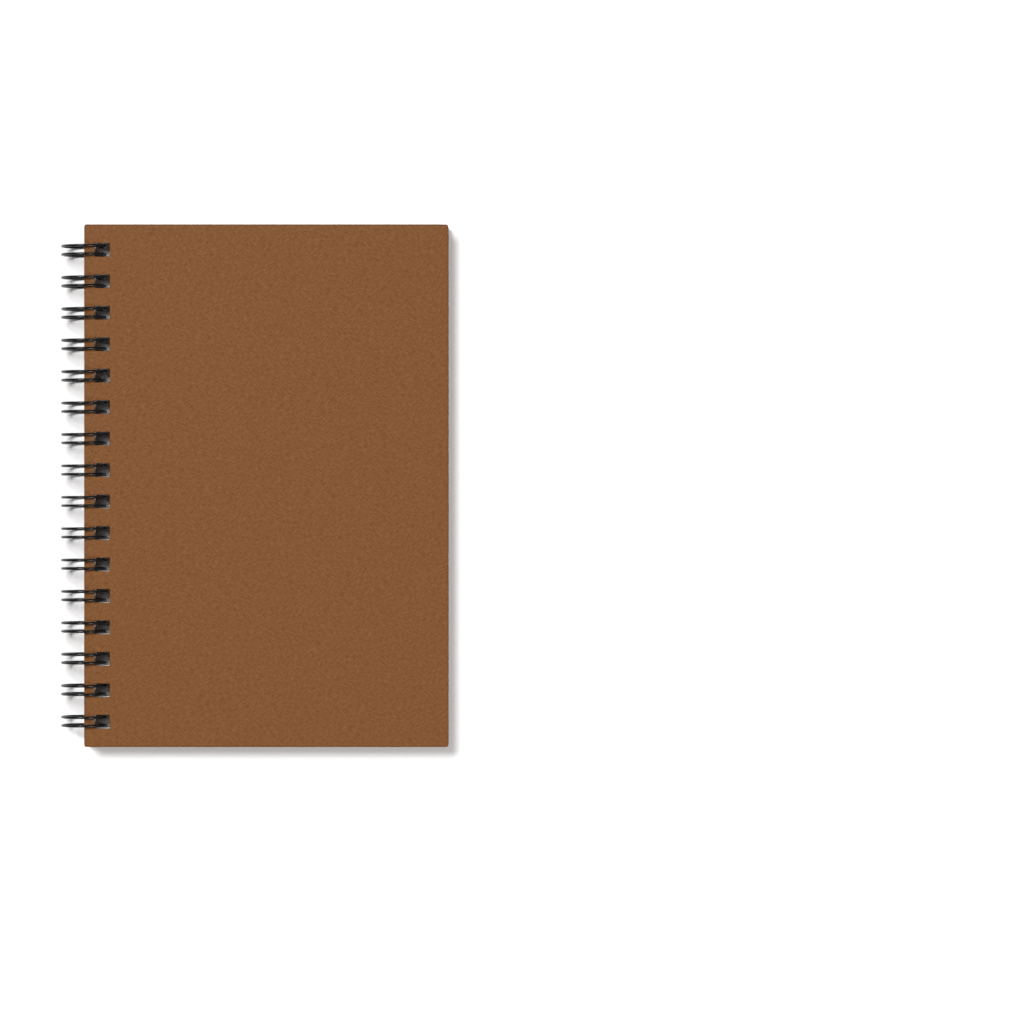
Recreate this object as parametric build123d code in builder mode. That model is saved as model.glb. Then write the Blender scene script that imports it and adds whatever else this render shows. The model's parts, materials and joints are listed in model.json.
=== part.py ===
from build123d import *
from math import asin, atan2, cos, hypot, pi, radians, sin, sqrt
import os

# Hard-cover ruled notebook, bound with one closed twin-loop wire.
#
# Millimetres. +X runs from the spine to the fore edge, +Y to the head of the book and +Z out of
# the front cover. The book lies closed on its back cover. The origin is the middle of its
# footprint, at the height of the wire's lowest point. Both covers and every sheet turn about the
# ring axis, a line along Y through the middle of the wire loops.

os.makedirs("parts", exist_ok=True)

# ---- Covers: a board in a leatherette wrap, with a paper lining pasted inside
cover_width = 147.0
cover_height = 211.0
cover_corner_radius = 1.0
cover_edge_radius = 0.6
board_thickness = 2.0
wrap_thickness = 0.35
lining_thickness = 0.3
turn_in_border = 2.5
spine_edge_gap = 0.6

# ---- Sheets
sheet_count = 60
sheets_in_a_node = 5
sheet_thickness = 0.10
air_between_sheets = 0.02
sheet_inset_spine = 1.3
sheet_inset_fore_edge = 2.5
sheet_inset_head = 2.75

# ---- Twin-loop wire
wire_diameter = 1.1
loop_pitch = 12.7
loop_spacing = 3.4
ring_clearance = 3.7
bridge_bend_radius = 1.2
bridge_clearance = 0.6
seam_gap = 0.5

# ---- Punched holes, one for each pair of loops
hole_side_clearance = 0.5
hole_spine_clearance = 0.35
hole_fore_clearance = 1.7
hole_corner_radius = 0.4
hole_end_margin = 5.0

# ---- Sizes that follow
cover_thickness = board_thickness + 2 * wrap_thickness
block_thickness = sheet_count * (sheet_thickness + air_between_sheets)
book_thickness = block_thickness + 2 * cover_thickness

wire_radius = wire_diameter / 2
ring_inner_radius = (book_thickness + ring_clearance) / 2
ring_radius = ring_inner_radius + wire_radius
ring_outer_radius = ring_radius + wire_radius

cover_middle = spine_edge_gap + cover_width / 2
sheet_width = cover_width - sheet_inset_spine - sheet_inset_fore_edge
sheet_height = cover_height - 2 * sheet_inset_head
sheet_middle = spine_edge_gap + sheet_inset_spine + sheet_width / 2

# The loops cross the covers' outer faces nearest to the ring axis, and its own height farthest
hole_height = loop_spacing + wire_diameter + 2 * hole_side_clearance
hole_start = sqrt(ring_inner_radius**2 - (book_thickness / 2) ** 2) - hole_spine_clearance
hole_end = ring_outer_radius + hole_fore_clearance
hole_length = hole_end - hole_start
hole_middle = (hole_start + hole_end) / 2
loop_count = int((cover_height - 2 * hole_end_margin - hole_height) / loop_pitch) + 1

# The loops are open at the seam, hidden under the back cover. The bridges there pass just below
# that cover, at the spine side of its holes, and the tips of the loops stop short of the bridges
bridge_depth = book_thickness / 2 + bridge_clearance + wire_radius
bridge_angle = radians(360) - asin(bridge_depth / hypot(ring_radius, bridge_bend_radius))
base_angle = bridge_angle + atan2(bridge_bend_radius, ring_radius)
tip_radius = loop_spacing / 2
seam_reach = tip_radius + bridge_bend_radius
seam_span = hypot(2 * ring_radius, seam_reach)
seam_angle = 2 * (atan2(seam_reach, 2 * ring_radius) + asin((wire_diameter + seam_gap) / seam_span))
tip_angle = base_angle - seam_angle

# The ring axis, from the footprint's middle and from the wire's lowest point
tip_drop = -(ring_radius * sin(tip_angle) + tip_radius * cos(tip_angle))
axis_x = (ring_outer_radius - spine_edge_gap - cover_width) / 2
axis_z = max(ring_radius, tip_drop) + wire_radius


def cover_plane(side, depth=0.0):
    """Plane on a cover's inner face, or deeper in it, that looks away from the sheets.

    side is 1 for the front cover and -1 for the back cover. Its origin is over the ring axis.
    """
    height = axis_z + side * (block_thickness / 2 + depth)
    return Plane(origin=(axis_x, 0, height), x_dir=(1, 0, 0), z_dir=(0, 0, side))


def punch_holes(corner_radius):
    """Take the row of holes along the spine out of the sketch being drawn."""
    with Locations((hole_middle, 0)):
        with GridLocations(0, loop_pitch, 1, loop_count):
            if corner_radius > 0:
                RectangleRounded(hole_length, hole_height, corner_radius, mode=Mode.SUBTRACT)
            else:
                Rectangle(hole_length, hole_height, mode=Mode.SUBTRACT)


def save(piece, name):
    """Label a finished piece and write its STEP file."""
    piece.part.label = name
    export_step(piece.part, f"parts/{name}.step")


def make_board(side):
    """Stiff board of a cover, a wrap's thickness smaller than the cover on every side."""
    with BuildPart() as board:
        with BuildSketch(cover_plane(side, wrap_thickness)):
            with Locations((cover_middle, 0)):
                RectangleRounded(
                    cover_width - 2 * wrap_thickness,
                    cover_height - 2 * wrap_thickness,
                    cover_corner_radius - wrap_thickness,
                )
            punch_holes(hole_corner_radius)
        extrude(amount=board_thickness)
    return board


def make_wrap(side):
    """Leatherette that covers the board outside and round its edges, and turns in all round."""
    with BuildPart() as wrap:
        with BuildSketch(cover_plane(side)):
            with Locations((cover_middle, 0)):
                RectangleRounded(cover_width, cover_height, cover_corner_radius)
        extrude(amount=cover_thickness)
        fillet(wrap.faces().filter_by(Axis.Z).edges(), radius=cover_edge_radius)
        with BuildSketch(cover_plane(side, wrap_thickness)):
            with Locations((cover_middle, 0)):
                RectangleRounded(
                    cover_width - 2 * wrap_thickness,
                    cover_height - 2 * wrap_thickness,
                    cover_corner_radius - wrap_thickness,
                )
        extrude(amount=board_thickness, mode=Mode.SUBTRACT)
        with BuildSketch(cover_plane(side)):
            with Locations((cover_middle, 0)):
                Rectangle(cover_width - 2 * turn_in_border, cover_height - 2 * turn_in_border)
        extrude(amount=wrap_thickness, mode=Mode.SUBTRACT)
        with BuildSketch(cover_plane(side, cover_thickness - wrap_thickness)):
            with Locations((hole_middle, 0)):
                with GridLocations(0, loop_pitch, 1, loop_count):
                    RectangleRounded(hole_length, hole_height, hole_corner_radius)
        extrude(amount=wrap_thickness, mode=Mode.SUBTRACT)
    return wrap


def make_lining(side):
    """Paper pasted on the board inside the turned-in border, just below the border's face."""
    with BuildPart() as lining:
        with BuildSketch(cover_plane(side, wrap_thickness - lining_thickness)):
            with Locations((cover_middle, 0)):
                Rectangle(cover_width - 2 * turn_in_border, cover_height - 2 * turn_in_border)
            punch_holes(hole_corner_radius)
        extrude(amount=lining_thickness)
    return lining


def make_sheets(first, count):
    """Some sheets of the block, each its own solid, counted up from the back cover."""
    sheet_pitch = sheet_thickness + air_between_sheets
    lowest = axis_z - block_thickness / 2 + air_between_sheets / 2
    heights = [lowest + sheet_pitch * (first + index) for index in range(count)]
    with BuildPart() as sheets:
        with BuildSketch(*[Plane(origin=(axis_x, 0, height)) for height in heights]):
            with Locations((sheet_middle, 0)):
                Rectangle(sheet_width, sheet_height)
            punch_holes(0)
        extrude(amount=sheet_thickness)
    return sheets


def loop_point(angle, beyond, y):
    """Point of the wire's centre line at an angle round the ring axis.

    beyond is how far it lies past that angle, straight on along the loop's tangent.
    """
    x = ring_radius * cos(angle) - beyond * sin(angle)
    z = ring_radius * sin(angle) + beyond * cos(angle)
    return Vector(axis_x + x, y, axis_z + z)


def make_wire():
    """The twin-loop wire: one round wire bent into hairpins, each closed into a pair of rings."""
    rows = [(index - (loop_count - 1) / 2) * loop_pitch for index in range(loop_count)]
    far_angle = base_angle - seam_angle / 2 - radians(180)
    bend_rise = bridge_bend_radius * (1 - sqrt(0.5))
    bend_run = bridge_bend_radius * sqrt(0.5)
    with BuildPart() as wire:
        with BuildLine() as route:
            for row in rows:
                near = row - tip_radius
                far = row + tip_radius
                base_near = loop_point(base_angle, 0, near)
                base_far = loop_point(base_angle, 0, far)
                tip_near = loop_point(tip_angle, 0, near)
                tip_far = loop_point(tip_angle, 0, far)
                ThreePointArc(base_near, loop_point(far_angle, 0, near), tip_near)
                ThreePointArc(tip_near, loop_point(tip_angle, tip_radius, row), tip_far)
                ThreePointArc(tip_far, loop_point(far_angle, 0, far), base_far)
                if row != rows[-1]:
                    next_near = near + loop_pitch
                    bridge_start = loop_point(base_angle, -bridge_bend_radius, far + bridge_bend_radius)
                    bridge_end = loop_point(base_angle, -bridge_bend_radius, next_near - bridge_bend_radius)
                    next_base = loop_point(base_angle, 0, next_near)
                    ThreePointArc(
                        base_far,
                        loop_point(base_angle, -bend_run, far + bend_rise),
                        bridge_start,
                    )
                    Line(bridge_start, bridge_end)
                    ThreePointArc(
                        bridge_end,
                        loop_point(base_angle, -bend_run, next_near - bend_rise),
                        next_base,
                    )
        with BuildSketch(Plane(origin=route.line @ 0, z_dir=route.line % 0)):
            Circle(wire_radius)
        sweep(path=route.wires()[0])
    print(f"wire: volume {wire.part.volume:.2f}, section times length "
          f"{pi * wire_radius**2 * route.wires()[0].length:.2f}")
    return wire


for cover_name, cover_side in (("front", 1), ("back", -1)):
    save(make_board(cover_side), f"{cover_name}_board")
    save(make_wrap(cover_side), f"{cover_name}_wrap")
    save(make_lining(cover_side), f"{cover_name}_lining")

# The book opens at its middle, so half of the sheets go with the front cover
rear_count = sheet_count // 2
for half_name, half_start, half_end in (("rear", 0, rear_count), ("front", rear_count, sheet_count)):
    for number, start in enumerate(range(half_start, half_end, sheets_in_a_node), 1):
        save(make_sheets(start, min(sheets_in_a_node, half_end - start)), f"{half_name}_sheets_{number}")

save(make_wire(), "twin_loop_wire")
print(f"ring axis: x {axis_x:.3f}, z {axis_z:.3f}; {loop_count} pairs of loops")
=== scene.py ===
import json
import math
import random

import bmesh
import bpy
from bpy.props import FloatProperty, FloatVectorProperty, IntProperty, PointerProperty
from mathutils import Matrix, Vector, geometry


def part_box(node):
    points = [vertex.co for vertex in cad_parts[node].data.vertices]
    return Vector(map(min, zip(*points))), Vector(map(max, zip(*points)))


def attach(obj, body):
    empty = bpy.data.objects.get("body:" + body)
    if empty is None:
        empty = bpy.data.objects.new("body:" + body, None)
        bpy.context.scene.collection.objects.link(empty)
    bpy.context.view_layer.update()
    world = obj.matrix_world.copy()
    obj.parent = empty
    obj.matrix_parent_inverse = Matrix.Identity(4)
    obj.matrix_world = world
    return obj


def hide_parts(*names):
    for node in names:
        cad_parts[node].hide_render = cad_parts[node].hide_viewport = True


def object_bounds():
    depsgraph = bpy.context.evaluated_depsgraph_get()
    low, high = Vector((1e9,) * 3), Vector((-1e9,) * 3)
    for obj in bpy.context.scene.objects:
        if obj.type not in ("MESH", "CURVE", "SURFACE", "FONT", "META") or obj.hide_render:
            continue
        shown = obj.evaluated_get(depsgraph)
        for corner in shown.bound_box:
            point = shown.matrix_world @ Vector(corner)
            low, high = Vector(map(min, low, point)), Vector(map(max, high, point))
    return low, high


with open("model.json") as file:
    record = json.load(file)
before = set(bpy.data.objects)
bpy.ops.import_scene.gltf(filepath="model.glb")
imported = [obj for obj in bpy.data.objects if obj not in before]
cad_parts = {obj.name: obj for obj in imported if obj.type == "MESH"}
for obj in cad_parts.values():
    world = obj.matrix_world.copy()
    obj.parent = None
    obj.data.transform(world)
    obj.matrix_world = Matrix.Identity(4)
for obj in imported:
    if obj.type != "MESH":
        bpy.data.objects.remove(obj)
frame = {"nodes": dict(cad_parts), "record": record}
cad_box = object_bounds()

bl_info = {
    "name": "Twin-Loop Notebook",
    "version": (1, 0, 0),
    "blender": (4, 5, 0),
    "location": "View3D > Sidebar > Notebook",
    "description": "Dresses a wire-bound ruled notebook: leatherette, linings, pages, ruling and wire",
    "category": "Object",
}

MM = 0.001

# ---- What the frame gives: the ring axis, the covers and the wire

RING_AXIS = Vector(frame["record"]["behaviour"]["joints"][0]["pos_m"])
FRONT_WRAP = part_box("front_wrap")
FRONT_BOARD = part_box("front_board")
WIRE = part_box("twin_loop_wire")

COVER_START = FRONT_WRAP[0][0] - RING_AXIS.x
COVER_END = FRONT_WRAP[1][0] - RING_AXIS.x
COVER_HALF = FRONT_WRAP[1][1]
COVER_THICKNESS = FRONT_WRAP[1][2] - FRONT_WRAP[0][2]
WRAP_THICKNESS = FRONT_BOARD[0][2] - FRONT_WRAP[0][2]
BOOK_HALF = FRONT_WRAP[1][2] - RING_AXIS.z
BLOCK_HALF = FRONT_WRAP[0][2] - RING_AXIS.z
RING_OUTER = WIRE[1][2] - RING_AXIS.z
FLOOR_HEIGHT = cad_box[0][2]

# ---- Details of the shapes

# Faces that meet at more than this angle stay sharp
SHARP_ANGLE = math.radians(50)

COVER_CORNER_STEPS = 12
COVER_EDGE_STEPS = 6
INNER_EDGE_RADIUS = 0.6 * MM

# Further in from the cover's edge its corners get tighter, by this share of the inset
CORNER_SHRINK = 0.55
SMALLEST_CORNER = 0.12 * MM

EDGE_FOLD = 0.06 * MM
OUTER_FACE_INSETS = (1.3 * MM, 1.7 * MM)

# The turned-in border, in millimetres, from its edge at the lining outwards. The first rows hold the
# distance from that edge, the depth and the fold of the corners, the others an inset and the fold
BORDER_EDGE = ((0.0, 0.10, 0.0), (0.05, 0.03, 0.0), (0.15, 0.0, 0.05), (0.5, 0.0, 0.11))
BORDER_FACE = ((1.4, 0.12), (0.9, 0.10))

# The folded leatherette of a corner rises and falls again up to its crease, and fades out past it
CREASE_SHARE = 0.8
CREASE_HEIGHT = 0.35

# The pressed rim of a hole, in millimetres: how far outside the hole, and how deep
HOLE_RIM = ((0.85, 0.0), (0.6, 0.0), (0.34, 0.02), (0.16, 0.07), (0.05, 0.16), (0.0, 0.28))
HOLE_CORNER = 0.4 * MM
HOLE_CORNER_STEPS = 4

SHEET_CORNER = 0.2 * MM
SHEET_CORNER_STEPS = 2
SCATTER_SEED = 7
INK_HEIGHT = 0.006 * MM
LINE_CORNER = 0.02 * MM

LOOP_STEPS = 72
TIP_STEPS = 16
BEND_STEPS = 8
WIRE_SECTION_STEPS = 4

# ---- Details of the looks. A noise's scale is one over the width of its features in metres

WANDER_SCALE = 700.0
WANDER_REACH = 1.6 * MM
PEBBLE_SCALE = 1050.0
WRINKLE_ANGLES = (0.70, -0.55)
WRINKLE_SCALES = (480.0, 1700.0, 900.0)
PATCH_SCALE = 110.0
FINE_SCALE = 4200.0
PEBBLE_SHARE = 0.2
WRINKLE_SHARE = 0.6
FINE_SHARE = 0.2
FLUSH_SCALE = 95.0
GRAIN_HEIGHT = 0.06 * MM

# Kinds of paper: scale of its clouds, contrast of its colour, and height of its surface
PAPER_FINISHES = {
    "raw_board": (500.0, 0.25, 0.03 * MM),
    "charcoal_lining": (260.0, 0.12, 0.012 * MM),
    "ruled_paper": (120.0, 0.03, 0.008 * MM),
    # The sheets' paper made darker for the holes' walls: painted shade
    "cut_paper": (400.0, 0.18, 0.01 * MM),
    "ruling_ink": (900.0, 0.12, 0.002 * MM),
}
FIBRE_ANGLE = 0.2
FIBRE_SCALES = (900.0, 3200.0, 3200.0)
MOTTLE_RANGE = (0.7, 1.3)

RIPPLE_SCALE = 650.0
RIPPLE_HEIGHT = 0.006 * MM
WEAR_SCALE = 180.0
WEAR_GAIN = 0.003

FLOOR_SCALE = 2.0
FLOOR_SHADE = 0.995

# ---- The stage, in metres, and the lights' powers in watts

FLOOR_HALF = 3.0
WORLD_STRENGTH = 0.16
SOFTBOX_SIZE = 1.0
SOFTBOXES = (
    ("key_softbox", (-0.62, 0.72, 2.4), 70.0),
    ("fill_softbox", (1.5, -1.3, 1.6), 34.0),
)

# The camera stands over a point beside the book, so that the book lies left of the middle
CAMERA_ASIDE = 0.1727
CAMERA_DOWN = 0.0106
CAMERA_DISTANCE = 2.0
CAMERA_REACH = 20.0
VIEW_WIDTH = 0.4132
SENSOR_WIDTH = 36.0


class NotebookSizes(bpy.types.PropertyGroup):
    """Sizes of the parts of the notebook that the frame doesn't give."""

    wire_diameter: FloatProperty(
        name="Wire Diameter",
        description="Thickness of the binding wire with its coating",
        default=1.1 * MM,
        unit="LENGTH",
    )
    loop_pitch: FloatProperty(
        name="Loop Pitch",
        description="Distance from one pair of loops to the next",
        default=12.7 * MM,
        unit="LENGTH",
    )
    loop_spacing: FloatProperty(
        name="Loop Spacing",
        description="Distance between the two loops of a pair",
        default=3.4 * MM,
        unit="LENGTH",
    )
    loop_count: IntProperty(
        name="Pairs of Loops",
        description="Number of pairs of loops along the spine",
        default=16,
        min=1,
    )
    bridge_bend: FloatProperty(
        name="Bridge Bend Radius",
        description="Radius where a loop turns into the bridge to the next pair",
        default=1.2 * MM,
        unit="LENGTH",
    )
    bridge_clearance: FloatProperty(
        name="Bridge Clearance",
        description="Room between the bridges of the wire and the back cover",
        default=0.6 * MM,
        unit="LENGTH",
    )
    seam_gap: FloatProperty(
        name="Seam Gap",
        description="Gap at the seam, between a pair's tip and the bridges",
        default=0.5 * MM,
        unit="LENGTH",
    )
    hole_side_clearance: FloatProperty(
        name="Hole Side Clearance",
        description="Room beside a pair of loops in its punched hole",
        default=0.5 * MM,
        unit="LENGTH",
    )
    hole_spine_clearance: FloatProperty(
        name="Hole Spine Clearance",
        description="Room between the loops and the spine side of the holes, at the covers' faces",
        default=0.35 * MM,
        unit="LENGTH",
    )
    hole_fore_clearance: FloatProperty(
        name="Hole Fore Clearance",
        description="Room between the loops and the far side of the holes",
        default=1.7 * MM,
        unit="LENGTH",
    )
    corner_radius: FloatProperty(
        name="Cover Corner Radius",
        description="Radius of the covers' corners, seen from the front",
        default=1.0 * MM,
        unit="LENGTH",
    )
    edge_radius: FloatProperty(
        name="Cover Edge Radius",
        description="Roundness of the covers' outer edges, where the leatherette folds over the board",
        default=0.85 * MM,
        unit="LENGTH",
    )
    turn_in_border: FloatProperty(
        name="Turn-in Border",
        description="Width of the leatherette that shows round the lining",
        default=2.5 * MM,
        unit="LENGTH",
    )
    sheets_in_a_node: IntProperty(
        name="Sheets in a Node",
        description="Number of sheets that each packed group holds",
        default=5,
        min=1,
    )
    sheet_thickness: FloatProperty(
        name="Sheet Thickness",
        description="Thickness of one sheet of paper",
        default=0.10 * MM,
        unit="LENGTH",
    )
    sheet_scatter: FloatProperty(
        name="Sheet Scatter",
        description="How far a sheet lies out of line with the others",
        default=0.14 * MM,
        unit="LENGTH",
    )
    line_pitch: FloatProperty(
        name="Line Pitch",
        description="Distance between the ruled lines",
        default=7.5 * MM,
        unit="LENGTH",
    )
    line_width: FloatProperty(
        name="Line Width",
        description="Width of a ruled line",
        default=0.3 * MM,
        unit="LENGTH",
    )
    line_count: IntProperty(
        name="Lines on a Page",
        description="Number of ruled lines on a page",
        default=25,
        min=1,
    )
    head_margin: FloatProperty(
        name="Head Margin",
        description="From the head of the sheet to the first line",
        default=16.4 * MM,
        unit="LENGTH",
    )
    spine_margin: FloatProperty(
        name="Spine Margin",
        description="From the spine edge of the sheet to the lines' ends",
        default=15.3 * MM,
        unit="LENGTH",
    )
    fore_margin: FloatProperty(
        name="Fore-edge Margin",
        description="From the lines' other ends to the fore edge",
        default=5.3 * MM,
        unit="LENGTH",
    )


class NotebookColours(bpy.types.PropertyGroup):
    """Colours of the notebook's finishes."""

    leatherette: FloatVectorProperty(
        name="Leatherette",
        description="Brown of the leatherette on the grain's high spots",
        subtype="COLOR",
        default=(0.180, 0.0712, 0.0190),
        min=0.0,
        max=1.0,
    )
    # Painted shade: the leatherette's brown darkened down in the grain's creases
    leatherette_crease_shade: FloatVectorProperty(
        name="Leatherette Crease Shade",
        description="Darker brown down in the grain's creases",
        subtype="COLOR",
        default=(0.128, 0.0495, 0.0125),
        min=0.0,
        max=1.0,
    )
    leatherette_flush: FloatVectorProperty(
        name="Leatherette Flush",
        description="Redder brown that comes and goes across the leatherette",
        subtype="COLOR",
        default=(0.177, 0.0637, 0.0225),
        min=0.0,
        max=1.0,
    )
    lining: FloatVectorProperty(
        name="Lining",
        description="Charcoal of the paper inside the covers",
        subtype="COLOR",
        default=(0.065, 0.057, 0.054),
        min=0.0,
        max=1.0,
    )
    board: FloatVectorProperty(
        name="Board",
        description="Raw board that shows in the punched holes",
        subtype="COLOR",
        default=(0.62, 0.59, 0.55),
        min=0.0,
        max=1.0,
    )
    paper: FloatVectorProperty(
        name="Paper",
        description="White of the ruled paper",
        subtype="COLOR",
        default=(0.62, 0.62, 0.625),
        min=0.0,
        max=1.0,
    )
    # Painted shade: the sheets' own paper, darkened for the walls of the punched holes
    cut_paper: FloatVectorProperty(
        name="Painted Shade Paper",
        description="Walls of the punched holes in the sheets",
        default=(0.40, 0.39, 0.38),
        subtype="COLOR",
        min=0.0,
        max=1.0,
    )
    ruling: FloatVectorProperty(
        name="Ruling",
        description="Grey of the ruled lines",
        subtype="COLOR",
        default=(0.16, 0.16, 0.17),
        min=0.0,
        max=1.0,
    )
    wire: FloatVectorProperty(
        name="Wire",
        description="Black of the wire's coating",
        subtype="COLOR",
        default=(0.003, 0.003, 0.0032),
        min=0.0,
        max=1.0,
    )
    floor: FloatVectorProperty(
        name="Floor",
        description="White of the studio floor",
        subtype="COLOR",
        default=(0.96, 0.96, 0.96),
        min=0.0,
        max=1.0,
    )


# ---- Materials


def new_material(name):
    """A material with an empty surface shader, and the nodes and links to build it with."""
    material = bpy.data.materials.new(name)
    material.use_nodes = True
    nodes = material.node_tree.nodes
    links = material.node_tree.links
    shader = nodes["Principled BSDF"]
    return material, nodes, links, shader


def object_coordinates(nodes):
    """The piece's own coordinates, in metres."""
    return nodes.new("ShaderNodeTexCoord").outputs["Object"]


def add_noise(nodes, links, place, scale, detail=2.0, roughness=0.5, distortion=0.0):
    """Noise whose features are about one over scale metres wide."""
    noise = nodes.new("ShaderNodeTexNoise")
    noise.inputs["Scale"].default_value = scale
    noise.inputs["Detail"].default_value = detail
    noise.inputs["Roughness"].default_value = roughness
    noise.inputs["Distortion"].default_value = distortion
    links.new(place, noise.inputs["Vector"])
    return noise.outputs["Fac"]


def stretch(nodes, links, place, angle, scale):
    """Turn a place about the vertical, and then scale it, so that a noise there runs in streaks."""
    mapping = nodes.new("ShaderNodeMapping")
    # This type turns first and then divides by its scale, where the usual one scales first
    mapping.vector_type = "TEXTURE"
    mapping.inputs["Rotation"].default_value = (0.0, 0.0, angle)
    mapping.inputs["Scale"].default_value = [1.0 / factor for factor in scale]
    links.new(place, mapping.inputs["Vector"])
    return mapping.outputs["Vector"]


def add_ramp(nodes, links, value, low, high, start=0.0, end=1.0):
    """A value spread from start to end as it goes from low to high."""
    spread = nodes.new("ShaderNodeMapRange")
    spread.inputs["From Min"].default_value = low
    spread.inputs["From Max"].default_value = high
    spread.inputs["To Min"].default_value = start
    spread.inputs["To Max"].default_value = end
    links.new(value, spread.inputs["Value"])
    return spread.outputs["Result"]


def add_math(nodes, links, operation, first, second):
    """One sum on two values, each a socket or a number."""
    sum_node = nodes.new("ShaderNodeMath")
    sum_node.operation = operation
    for socket, value in zip(sum_node.inputs, (first, second)):
        if isinstance(value, (int, float)):
            socket.default_value = value
        else:
            links.new(value, socket)
    return sum_node.outputs["Value"]


def mix_colours(nodes, links, amount, first, second):
    """A colour between two, each a socket or a colour, by an amount that varies."""
    mix = nodes.new("ShaderNodeMix")
    mix.data_type = "RGBA"
    links.new(amount, mix.inputs["Factor"])
    for name, colour in (("A", first), ("B", second)):
        socket = next(entry for entry in mix.inputs if entry.name == name and entry.type == "RGBA")
        if isinstance(colour, bpy.types.NodeSocket):
            links.new(colour, socket)
        else:
            socket.default_value = (*colour, 1.0)
    return next(entry for entry in mix.outputs if entry.type == "RGBA")


def add_bump(nodes, links, shader, height, distance, strength):
    """Raise the surface by a height of up to a distance in metres."""
    bump = nodes.new("ShaderNodeBump")
    bump.inputs["Distance"].default_value = distance
    bump.inputs["Strength"].default_value = strength
    links.new(height, bump.inputs["Height"])
    links.new(bump.outputs["Normal"], shader.inputs["Normal"])


def leatherette_material(name, colours):
    """Satin brown leatherette with a fine, creased, slightly streaky grain."""
    material, nodes, links, shader = new_material(name)
    place = object_coordinates(nodes)

    # Pebbles of the grain, wrinkled so that no two are alike
    wander = nodes.new("ShaderNodeTexNoise")
    wander.inputs["Scale"].default_value = WANDER_SCALE
    wander.inputs["Detail"].default_value = 2.0
    links.new(place, wander.inputs["Vector"])
    centred = nodes.new("ShaderNodeVectorMath")
    centred.operation = "SUBTRACT"
    centred.inputs[1].default_value = (0.5, 0.5, 0.5)
    links.new(wander.outputs["Color"], centred.inputs[0])
    shift = nodes.new("ShaderNodeVectorMath")
    shift.operation = "MULTIPLY_ADD"
    shift.inputs[1].default_value = (WANDER_REACH, WANDER_REACH, WANDER_REACH)
    links.new(centred.outputs["Vector"], shift.inputs[0])
    links.new(place, shift.inputs[2])
    pebbles = nodes.new("ShaderNodeTexVoronoi")
    pebbles.feature = "DISTANCE_TO_EDGE"
    pebbles.inputs["Scale"].default_value = PEBBLE_SCALE
    links.new(shift.outputs["Vector"], pebbles.inputs["Vector"])
    pebble = add_ramp(nodes, links, pebbles.outputs["Distance"], low=0.0, high=0.22)

    # Fine slanting wrinkles, which rise in some patches and fall in others
    rising, falling = (
        add_noise(
            nodes,
            links,
            stretch(nodes, links, place, angle, WRINKLE_SCALES),
            scale=1.0,
            detail=3.0,
            roughness=0.6,
        )
        for angle in WRINKLE_ANGLES
    )
    patches = add_noise(nodes, links, place, PATCH_SCALE, detail=2.0)
    patch = add_ramp(nodes, links, patches, low=0.42, high=0.58)
    elsewhere = add_math(nodes, links, "SUBTRACT", 1.0, patch)
    upward = add_math(nodes, links, "MULTIPLY", rising, patch)
    downward = add_math(nodes, links, "MULTIPLY", falling, elsewhere)
    slants = add_math(nodes, links, "ADD", upward, downward)
    wrinkle = add_ramp(nodes, links, slants, low=0.34, high=0.66)

    fine = add_noise(nodes, links, place, FINE_SCALE, detail=2.0, roughness=0.6)
    grain = add_math(nodes, links, "MULTIPLY", pebble, PEBBLE_SHARE)
    for layer, share in ((wrinkle, WRINKLE_SHARE), (fine, FINE_SHARE)):
        part = add_math(nodes, links, "MULTIPLY", layer, share)
        grain = add_math(nodes, links, "ADD", grain, part)

    # Colour: painted shade darkens the creases, and a redder flush drifts over the skin
    drift = add_noise(nodes, links, place, FLUSH_SCALE, detail=3.0, roughness=0.55, distortion=0.4)
    flush = add_ramp(nodes, links, drift, low=0.48, high=0.66, start=0.0, end=0.55)
    skin = mix_colours(nodes, links, flush, colours.leatherette, colours.leatherette_flush)
    # Where the grain is low the colour goes to the crease brown: painted shade
    depth = add_ramp(nodes, links, grain, low=0.28, high=0.74)
    colour = mix_colours(nodes, links, depth, colours.leatherette_crease_shade, skin)
    links.new(colour, shader.inputs["Base Color"])

    gloss = add_ramp(nodes, links, grain, low=0.3, high=0.8, start=0.70, end=0.56)
    links.new(gloss, shader.inputs["Roughness"])
    shader.inputs["Specular IOR Level"].default_value = 0.14
    add_bump(nodes, links, shader, grain, GRAIN_HEIGHT, strength=0.8)
    return material


def paper_material(name, colour):
    """Uncoated paper or board: a faint cloudy fibre in its colour and its surface."""
    scale, contrast, bump = PAPER_FINISHES[name]
    low, high = MOTTLE_RANGE
    material, nodes, links, shader = new_material(name)
    place = object_coordinates(nodes)
    cloud = add_noise(nodes, links, place, scale, detail=4.0, roughness=0.65)
    streaks = stretch(nodes, links, place, FIBRE_ANGLE, FIBRE_SCALES)
    fibre = add_noise(nodes, links, streaks, scale=1.0, detail=2.0)
    mottle = add_math(nodes, links, "ADD", cloud, fibre)
    dark = [channel * (1.0 - contrast) for channel in colour]
    amount = add_ramp(nodes, links, mottle, low, high)
    links.new(mix_colours(nodes, links, amount, dark, colour), shader.inputs["Base Color"])
    gloss = add_ramp(nodes, links, mottle, low, high, start=0.92, end=0.8)
    links.new(gloss, shader.inputs["Roughness"])
    shader.inputs["Specular IOR Level"].default_value = 0.25
    add_bump(nodes, links, shader, mottle, bump, strength=0.5)
    return material


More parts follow.
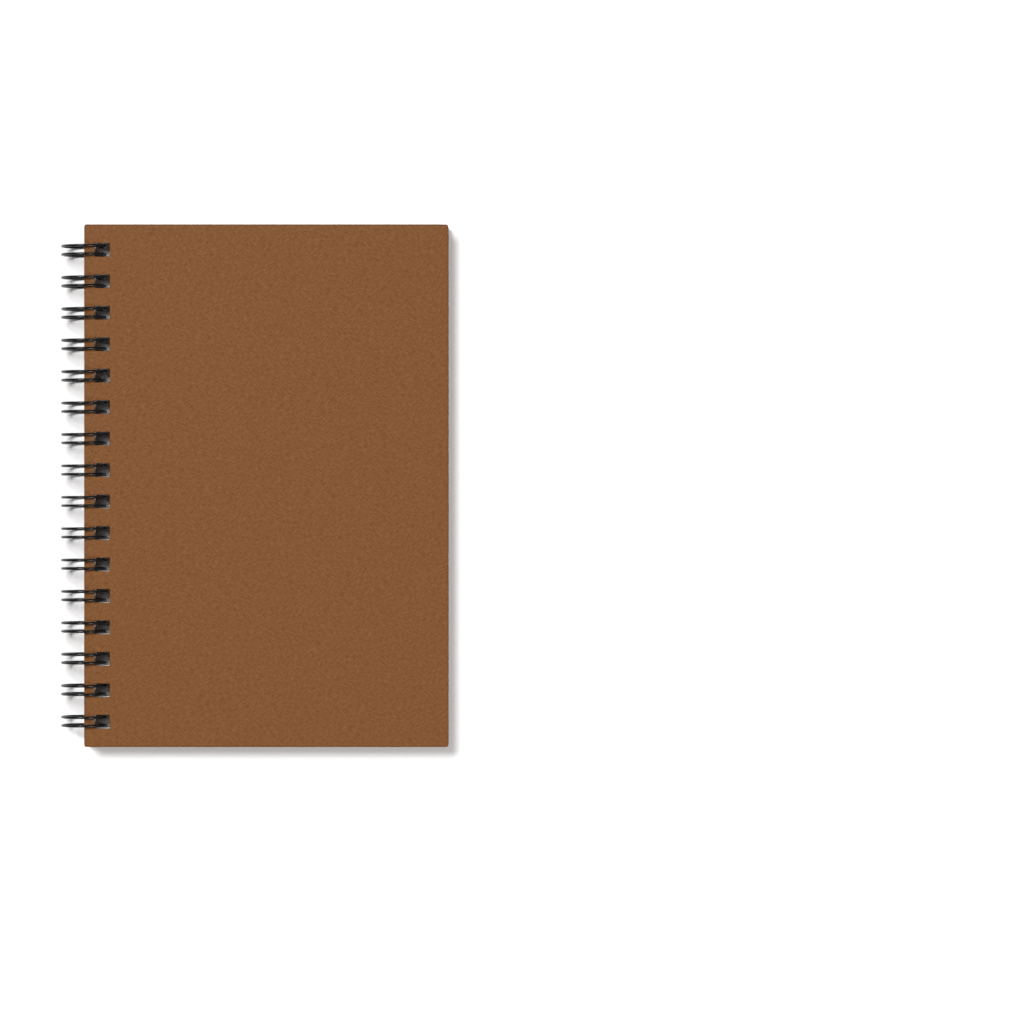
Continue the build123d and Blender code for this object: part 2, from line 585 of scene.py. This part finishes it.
def wire_material(name, colour):
    """Gloss black coating on steel wire, with the faint ripple that such a coating has."""
    material, nodes, links, shader = new_material(name)
    place = object_coordinates(nodes)
    ripple = add_noise(nodes, links, place, RIPPLE_SCALE, detail=2.0, roughness=0.5)
    wear = add_noise(nodes, links, place, WEAR_SCALE, detail=3.0)
    amount = add_ramp(nodes, links, wear, low=0.45, high=0.7)
    worn = [channel + WEAR_GAIN for channel in colour]
    links.new(mix_colours(nodes, links, amount, colour, worn), shader.inputs["Base Color"])
    gloss = add_ramp(nodes, links, ripple, low=0.3, high=0.7, start=0.22, end=0.30)
    links.new(gloss, shader.inputs["Roughness"])
    shader.inputs["Specular IOR Level"].default_value = 0.35
    add_bump(nodes, links, shader, ripple, RIPPLE_HEIGHT, strength=0.25)
    return material


def floor_material(name, colour):
    """Plain white studio floor."""
    material, nodes, links, shader = new_material(name)
    clouds = add_noise(nodes, links, object_coordinates(nodes), FLOOR_SCALE, detail=1.0)
    tone = add_ramp(nodes, links, clouds, low=0.3, high=0.7)
    shade = [channel * FLOOR_SHADE for channel in colour]
    links.new(mix_colours(nodes, links, tone, shade, colour), shader.inputs["Base Color"])
    shader.inputs["Roughness"].default_value = 0.95
    shader.inputs["Specular IOR Level"].default_value = 0.1
    return material


def material_of(name, make, colours):
    """The material of that name, made the first time that a piece asks for it."""
    return bpy.data.materials.get(name) or make(name, colours)


# ---- Outlines and shells


def rounded_rectangle(x0, y0, x1, y1, radius, steps=8):
    """Outline of a rectangle with rounded corners, counterclockwise."""
    # The middle of each corner's arc, and the angle where the arc starts, in half turns
    corners = (
        (x1 - radius, y0 + radius, -0.5),
        (x1 - radius, y1 - radius, 0.0),
        (x0 + radius, y1 - radius, 0.5),
        (x0 + radius, y0 + radius, 1.0),
    )
    outline = []
    for centre_x, centre_y, start in corners:
        for step in range(steps + 1):
            angle = math.pi * (start + 0.5 * step / steps)
            x = centre_x + radius * math.cos(angle)
            y = centre_y + radius * math.sin(angle)
            outline.append((x, y))
    return outline


def hole_limits(sizes):
    """Where the punched holes start and end from the ring axis, and half their height."""
    inner = RING_OUTER - sizes.wire_diameter
    start = math.sqrt(inner**2 - BOOK_HALF**2) - sizes.hole_spine_clearance
    end = RING_OUTER + sizes.hole_fore_clearance
    half = (sizes.loop_spacing + sizes.wire_diameter) / 2 + sizes.hole_side_clearance
    return start, end, half


def loop_rows(sizes):
    """Places of the pairs of loops along the spine."""
    middle = (sizes.loop_count - 1) / 2
    return [(index - middle) * sizes.loop_pitch for index in range(sizes.loop_count)]


def is_inside(point, outline):
    """Whether a point lies inside an outline, by counting the sides that a ray from it crosses."""
    crossed = False
    for (x0, y0), (x1, y1) in zip(outline, outline[1:] + outline[:1]):
        if (y0 > point.y) != (y1 > point.y):
            crossing = x0 + (point.y - y0) * (x1 - x0) / (y1 - y0)
            if point.x < crossing:
                crossed = not crossed
    return crossed


class Shell:
    """A closed surface that is built from outlines, bands between them and flat fills."""

    def __init__(self):
        self.points = []
        self.faces = []
        self.painted_shade_faces = set()

    def outline(self, flat_points, heights):
        """Add an outline at one height, or at a height for each of its points."""
        first = len(self.points)
        if isinstance(heights, (int, float)):
            heights = [heights] * len(flat_points)
        self.points += [(x, y, z) for (x, y), z in zip(flat_points, heights)]
        return list(range(first, len(self.points)))

    def band(self, lower, upper, cut=False):
        """Join two outlines with the same number of points; a flagged band takes the darker,
        shade-painted paper.
        """
        count = len(lower)
        if cut:
            self.painted_shade_faces.update(range(len(self.faces), len(self.faces) + count))
        for index in range(count):
            after = (index + 1) % count
            self.faces.append((lower[index], lower[after], upper[after], upper[index]))

    def bands(self, outlines):
        """Join each outline to the next."""
        for lower, upper in zip(outlines, outlines[1:]):
            self.band(lower, upper)

    def fill(self, outline, holes=()):
        """Close the flat area inside an outline, apart from the holes."""
        used = []
        edges = []
        for loop in (outline, *holes):
            start = len(used)
            used += loop
            count = len(loop)
            edges += [(start + index, start + (index + 1) % count) for index in range(count)]
        flat = [Vector(self.points[index][:2]) for index in used]
        inside_only = 1
        tolerance = 1e-9
        filled = geometry.delaunay_2d_cdt(flat, edges, [], inside_only, tolerance)
        points, _, triangles, sources, _, _ = filled
        gaps = [[self.points[index][:2] for index in hole] for hole in holes]
        for triangle in triangles:
            total = sum((points[corner] for corner in triangle), Vector((0.0, 0.0)))
            middle = total / len(triangle)
            if not any(is_inside(middle, gap) for gap in gaps):
                self.faces.append(tuple(used[sources[corner][0]] for corner in triangle))

    def build(self, name, material, painted_shade_material=None, offset=(0.0, 0.0, 0.0), smooth=True):
        """Make the object, moved by an offset, with its faces looking out."""
        mesh = bpy.data.meshes.new(name)
        mesh.from_pydata([Vector(point) + Vector(offset) for point in self.points], [], self.faces)
        work = bmesh.new()
        work.from_mesh(mesh)
        bmesh.ops.recalc_face_normals(work, faces=work.faces)
        work.to_mesh(mesh)
        work.free()
        mesh.materials.append(material)
        # The flagged faces take the second material, a darker paper that paints shade in the holes
        if painted_shade_material:
            mesh.materials.append(painted_shade_material)
            for face in self.painted_shade_faces:
                mesh.polygons[face].material_index = 1
        piece = bpy.data.objects.new(name, mesh)
        bpy.context.scene.collection.objects.link(piece)
        if smooth:
            mesh.shade_smooth()
            mesh.set_sharp_from_angle(angle=SHARP_ANGLE)
        return piece


# ---- Covers


def corner_share(count_per_corner, index):
    """How near a point of a rounded outline is to the middle of its corner, from 0 to 1."""
    step = index % count_per_corner
    middle = (count_per_corner - 1) / 2
    return 1.0 - abs(step - middle) / middle


def fold_share(share):
    """How high the folded leatherette stands at a point of a corner, from 0 to 1."""
    if share < CREASE_SHARE:
        return math.sin(math.pi * share / CREASE_SHARE)
    return CREASE_HEIGHT * (1 - share)


def make_wrap(side, name, sizes, material):
    """Leatherette shell of a cover: outer skin, soft edges, pressed hole rims, turned-in border."""
    full = COVER_THICKNESS
    skin = WRAP_THICKNESS
    border = sizes.turn_in_border
    shell = Shell()

    def height(depth):
        return side * (BLOCK_HALF + depth)

    def ring(inset, depth, fold=0.0):
        """One outline of the cover; fold lifts its corners, where the leatherette is doubled."""
        corner = max(sizes.corner_radius - inset * CORNER_SHRINK, SMALLEST_CORNER)
        flat_points = rounded_rectangle(
            COVER_START + inset,
            -COVER_HALF + inset,
            COVER_END - inset,
            COVER_HALF - inset,
            corner,
            COVER_CORNER_STEPS,
        )
        heights = []
        for index in range(len(flat_points)):
            share = corner_share(COVER_CORNER_STEPS + 1, index)
            heights.append(height(depth - fold * fold_share(share)))
        return shell.outline(flat_points, heights)

    def edge(radius, is_outer):
        """Insets and depths round a quarter circle at the cover's edge."""
        for step in range(COVER_EDGE_STEPS + 1):
            angle = math.pi / 2 * step / COVER_EDGE_STEPS
            along = radius * (1 - math.cos(angle))
            across = radius * (1 - math.sin(angle))
            yield (along, full - across) if is_outer else (across, along)

    # From the lining's window out over the border, round the edge and onto the outer face
    rings = [ring(border, skin)]
    rings += [ring(border - step * MM, depth * MM, fold * MM) for step, depth, fold in BORDER_EDGE]
    rings += [ring(inset * MM, 0.0, fold * MM) for inset, fold in BORDER_FACE]
    for step, (inset, depth) in enumerate(edge(INNER_EDGE_RADIUS, False)):
        rings.append(ring(inset, depth, EDGE_FOLD * (1 - step / COVER_EDGE_STEPS)))
    rings += [ring(inset, depth) for inset, depth in edge(sizes.edge_radius, True)]
    rings += [ring(inset, full) for inset in OUTER_FACE_INSETS]
    shell.bands(rings)

    # The skin's underside, which lies on the board, round its edge and under the border
    under = [ring(skin, full - skin), ring(skin, skin), rings[0]]
    shell.bands(under)

    start, end, half = hole_limits(sizes)
    top_rims = []
    under_rims = []
    for row in loop_rows(sizes):
        rim = []
        for outset, drop in (*HOLE_RIM, (0.0, skin / MM)):
            grow = outset * MM
            flat_points = rounded_rectangle(
                start - grow,
                row - half - grow,
                end + grow,
                row + half + grow,
                HOLE_CORNER + grow,
                HOLE_CORNER_STEPS,
            )
            rim.append(shell.outline(flat_points, height(full - drop * MM)))
        shell.bands(rim)
        top_rims.append(rim[0])
        under_rims.append(rim[-1])
    shell.fill(rings[-1], top_rims)
    shell.fill(under[0], under_rims)
    return shell.build(name, material, offset=(RING_AXIS.x, 0.0, RING_AXIS.z))


class NOTEBOOK_OT_cover_wraps(bpy.types.Operator):
    """Make the leatherette wraps of the front and back covers"""

    bl_idname = "notebook.cover_wraps"
    bl_label = "Leatherette Wraps"

    def execute(self, context):
        scene = context.scene
        material = material_of("brown_leatherette", leatherette_material, scene.notebook_colours)
        for side, name, body in ((1, "front_wrap", "front_cover"), (-1, "back_wrap", "root")):
            piece = make_wrap(side, f"{name}_leatherette", scene.notebook_sizes, material)
            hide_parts(name)
            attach(piece, body)
        return {"FINISHED"}


class NOTEBOOK_OT_cover_cores(bpy.types.Operator):
    """Give the boards and the linings inside the covers their finish"""

    bl_idname = "notebook.cover_cores"
    bl_label = "Boards and Linings"

    def execute(self, context):
        colours = context.scene.notebook_colours
        board = material_of("raw_board", paper_material, colours.board)
        lining = material_of("charcoal_lining", paper_material, colours.lining)
        for side in ("front", "back"):
            for node, material in ((f"{side}_board", board), (f"{side}_lining", lining)):
                frame["nodes"][node].material_slots[0].material = material
        return {"FINISHED"}


# ---- Sheets


def make_sheet(shell, low, high, holes, bottom, thickness, slip):
    """Add one punched sheet to a shell, slipped out of line by a little."""
    outline = rounded_rectangle(
        low[0] + slip[0],
        low[1] + slip[1],
        high[0] + slip[0],
        high[1] + slip[1],
        SHEET_CORNER,
        SHEET_CORNER_STEPS,
    )
    top = bottom + thickness
    lower = shell.outline(outline, bottom)
    upper = shell.outline(outline, top)
    shell.band(lower, upper)
    lower_rims = []
    upper_rims = []
    for x0, y0, x1, y1 in holes:
        rim = [(x0, y0), (x1, y0), (x1, y1), (x0, y1)]
        rim = [(x + slip[0], y + slip[1]) for x, y in rim]
        lower_rims.append(shell.outline(rim, bottom))
        upper_rims.append(shell.outline(rim, top))
        # The holes' walls take the darker paper: painted shade
        shell.band(lower_rims[-1], upper_rims[-1], cut=True)
    shell.fill(lower, lower_rims)
    shell.fill(upper, upper_rims)


class NOTEBOOK_OT_sheets(bpy.types.Operator):
    """Make the sheets of paper, each one slightly out of line with the next"""

    bl_idname = "notebook.sheets"
    bl_label = "Sheets of Paper"

    def execute(self, context):
        scene = context.scene
        sizes = scene.notebook_sizes
        colours = scene.notebook_colours
        material = material_of("ruled_paper", paper_material, colours.paper)
        # Darker paper for the holes' walls, as painted shade
        painted_shade_material = material_of("cut_paper", paper_material, colours.cut_paper)
        scatter = random.Random(SCATTER_SEED)
        start, end, half = hole_limits(sizes)
        left = RING_AXIS.x + start
        right = RING_AXIS.x + end
        holes = [(left, row - half, right, row + half) for row in loop_rows(sizes)]
        for body, prefix in (("root", "rear_sheets"), ("front_sheets", "front_sheets")):
            for node in sorted(name for name in frame["nodes"] if name.startswith(prefix)):
                low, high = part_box(node)
                pitch = (high[2] - low[2] - sizes.sheet_thickness) / (sizes.sheets_in_a_node - 1)
                shell = Shell()
                for index in range(sizes.sheets_in_a_node):
                    slip = [scatter.uniform(-1, 1) * sizes.sheet_scatter for _ in range(2)]
                    bottom = low[2] + index * pitch
                    make_sheet(shell, low, high, holes, bottom, sizes.sheet_thickness, slip)
                piece = shell.build(f"{node}_paper", material, painted_shade_material, smooth=False)
                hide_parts(node)
                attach(piece, body)
        return {"FINISHED"}


class NOTEBOOK_OT_ruling(bpy.types.Operator):
    """Rule the pages that show when the book is open"""

    bl_idname = "notebook.ruling"
    bl_label = "Ruled Lines"

    def execute(self, context):
        scene = context.scene
        sizes = scene.notebook_sizes
        material = material_of("ruling_ink", paper_material, scene.notebook_colours.ruling)
        pages = (
            ("rear_top_ruling", "rear_sheets_6", "root", 1),
            ("front_under_ruling", "front_sheets_1", "front_sheets", -1),
            ("front_top_ruling", "front_sheets_6", "front_sheets", 1),
        )
        for name, node, body, side in pages:
            low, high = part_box(node)
            face = high[2] if side > 0 else low[2]
            shell = Shell()
            for index in range(sizes.line_count):
                middle = high[1] - sizes.head_margin - index * sizes.line_pitch
                outline = rounded_rectangle(
                    low[0] + sizes.spine_margin,
                    middle - sizes.line_width / 2,
                    high[0] - sizes.fore_margin,
                    middle + sizes.line_width / 2,
                    LINE_CORNER,
                    steps=1,
                )
                sunk = shell.outline(outline, face - side * 2 * INK_HEIGHT)
                proud = shell.outline(outline, face + side * INK_HEIGHT)
                shell.band(sunk, proud)
                shell.fill(sunk)
                shell.fill(proud)
            piece = shell.build(name, material, smooth=False)
            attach(piece, body)
        return {"FINISHED"}


# ---- Wire


def wire_route(sizes):
    """Points along the wire's centre line: hairpins bent into pairs of loops, joined by bridges."""
    wire_radius = sizes.wire_diameter / 2
    ring = RING_OUTER - wire_radius
    tip = sizes.loop_spacing / 2
    bend = sizes.bridge_bend
    reach = tip + bend
    half_seam = math.atan2(reach, 2 * ring)
    half_seam += math.asin((sizes.wire_diameter + sizes.seam_gap) / math.hypot(2 * ring, reach))
    bridge_depth = BOOK_HALF + sizes.bridge_clearance + wire_radius
    base_angle = math.atan2(bend, ring) - math.asin(bridge_depth / math.hypot(ring, bend))
    tip_angle = base_angle + 2 * math.pi - 2 * half_seam
    points = []

    def add(angle, beyond, y):
        x = ring * math.cos(angle) - beyond * math.sin(angle)
        z = ring * math.sin(angle) + beyond * math.cos(angle)
        points.append(Vector((RING_AXIS.x + x, y, RING_AXIS.z + z)))

    def add_loop(first, last, y):
        for step in range(LOOP_STEPS + 1):
            add(first + (last - first) * step / LOOP_STEPS, 0.0, y)

    def add_turn(angle, radius, y, first, last, side, steps):
        """An arc in the loops' tangent plane, about a point at width y; the ends are left out."""
        for step in range(1, steps):
            turn = first + (last - first) * step / steps
            add(angle, side * radius * math.sin(turn), y - radius * math.cos(turn))

    rows = loop_rows(sizes)
    for row in rows:
        add_loop(base_angle, tip_angle, row - tip)
        add_turn(tip_angle, tip, row, 0.0, math.pi, 1, TIP_STEPS)
        add_loop(tip_angle, base_angle, row + tip)
        if row != rows[-1]:
            following = row + sizes.loop_pitch - tip
            add_turn(base_angle, bend, row + tip + bend, 0.0, math.pi / 2, -1, BEND_STEPS)
            add(base_angle, -bend, row + tip + bend)
            add(base_angle, -bend, following - bend)
            add_turn(base_angle, bend, following - bend, math.pi / 2, math.pi, -1, BEND_STEPS)
    return points


class NOTEBOOK_OT_wire(bpy.types.Operator):
    """Make the twin-loop binding wire, one coated wire from end to end"""

    bl_idname = "notebook.wire"
    bl_label = "Twin-Loop Wire"

    def execute(self, context):
        scene = context.scene
        sizes = scene.notebook_sizes
        points = wire_route(sizes)
        curve = bpy.data.curves.new("twin_loop_wire_coated", "CURVE")
        curve.dimensions = "3D"
        curve.bevel_depth = sizes.wire_diameter / 2
        curve.bevel_resolution = WIRE_SECTION_STEPS
        curve.use_fill_caps = True
        spline = curve.splines.new("POLY")
        spline.points.add(len(points) - 1)
        for target, point in zip(spline.points, points):
            target.co = (*point, 1.0)
        spline.use_smooth = True
        coating = material_of("black_wire_coating", wire_material, scene.notebook_colours.wire)
        curve.materials.append(coating)
        piece = bpy.data.objects.new("twin_loop_wire_coated", curve)
        scene.collection.objects.link(piece)
        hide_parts("twin_loop_wire")
        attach(piece, "root")
        return {"FINISHED"}


# ---- Stage


class NOTEBOOK_OT_stage(bpy.types.Operator):
    """Set the floor, the soft lights and the camera that looks straight down"""

    bl_idname = "notebook.stage"
    bl_label = "Stage"

    def execute(self, context):
        scene = context.scene
        mesh = bpy.data.meshes.new("studio_floor")
        signs = ((-1, -1), (1, -1), (1, 1), (-1, 1))
        corners = [(x * FLOOR_HALF, y * FLOOR_HALF, FLOOR_HEIGHT) for x, y in signs]
        mesh.from_pydata(corners, [], [(0, 1, 2, 3)])
        mesh.materials.append(
            material_of("studio_floor", floor_material, scene.notebook_colours.floor)
        )
        floor = bpy.data.objects.new("studio_floor", mesh)
        scene.collection.objects.link(floor)

        world = bpy.data.worlds.new("studio_world")
        world.use_nodes = True
        background = world.node_tree.nodes["Background"]
        background.inputs["Color"].default_value = (1.0, 1.0, 1.0, 1.0)
        background.inputs["Strength"].default_value = WORLD_STRENGTH
        scene.world = world

        # Each softbox looks at the middle of the book's footprint
        for name, place, power in SOFTBOXES:
            lamp = bpy.data.lights.new(name, "AREA")
            lamp.shape = "DISK"
            lamp.size = SOFTBOX_SIZE
            lamp.energy = power
            light = bpy.data.objects.new(name, lamp)
            light.location = place
            light.rotation_euler = (-Vector(place)).to_track_quat("-Z", "Y").to_euler()
            scene.collection.objects.link(light)

        camera_data = bpy.data.cameras.new("camera")
        camera_data.sensor_width = SENSOR_WIDTH
        camera_data.lens = SENSOR_WIDTH * CAMERA_DISTANCE / VIEW_WIDTH
        camera_data.clip_end = CAMERA_REACH
        camera = bpy.data.objects.new("camera", camera_data)
        spine_edge = FRONT_WRAP[0][0]
        cover_top = FRONT_WRAP[1][2]
        camera.location = (spine_edge + CAMERA_ASIDE, -CAMERA_DOWN, cover_top + CAMERA_DISTANCE)
        scene.collection.objects.link(camera)
        scene.camera = camera
        scene.view_settings.view_transform = "Standard"
        return {"FINISHED"}


# ---- Panel and registration


class NOTEBOOK_PT_sidebar(bpy.types.Panel):
    """Lists the notebook's operators, sizes and colours"""

    bl_idname = "NOTEBOOK_PT_sidebar"
    bl_label = "Twin-Loop Notebook"
    bl_space_type = "VIEW_3D"
    bl_region_type = "UI"
    bl_category = "Notebook"

    def draw(self, context):
        column = self.layout.column()
        for operator in OPERATORS:
            column.operator(operator.bl_idname)
        for group in (context.scene.notebook_sizes, context.scene.notebook_colours):
            box = self.layout.box()
            for name in group.__annotations__:
                box.prop(group, name)


OPERATORS = (
    NOTEBOOK_OT_cover_wraps,
    NOTEBOOK_OT_cover_cores,
    NOTEBOOK_OT_sheets,
    NOTEBOOK_OT_ruling,
    NOTEBOOK_OT_wire,
    NOTEBOOK_OT_stage,
)
CLASSES = (NotebookSizes, NotebookColours, *OPERATORS, NOTEBOOK_PT_sidebar)


def register():
    for entry in CLASSES:
        bpy.utils.register_class(entry)
    bpy.types.Scene.notebook_sizes = PointerProperty(type=NotebookSizes)
    bpy.types.Scene.notebook_colours = PointerProperty(type=NotebookColours)


def unregister():
    del bpy.types.Scene.notebook_colours
    del bpy.types.Scene.notebook_sizes
    for entry in reversed(CLASSES):
        bpy.utils.unregister_class(entry)


def main():
    register()
    bpy.ops.notebook.cover_wraps()
    bpy.ops.notebook.cover_cores()
    bpy.ops.notebook.sheets()
    bpy.ops.notebook.ruling()
    bpy.ops.notebook.wire()
    bpy.ops.notebook.stage()


if __name__ == "__main__":
    main()
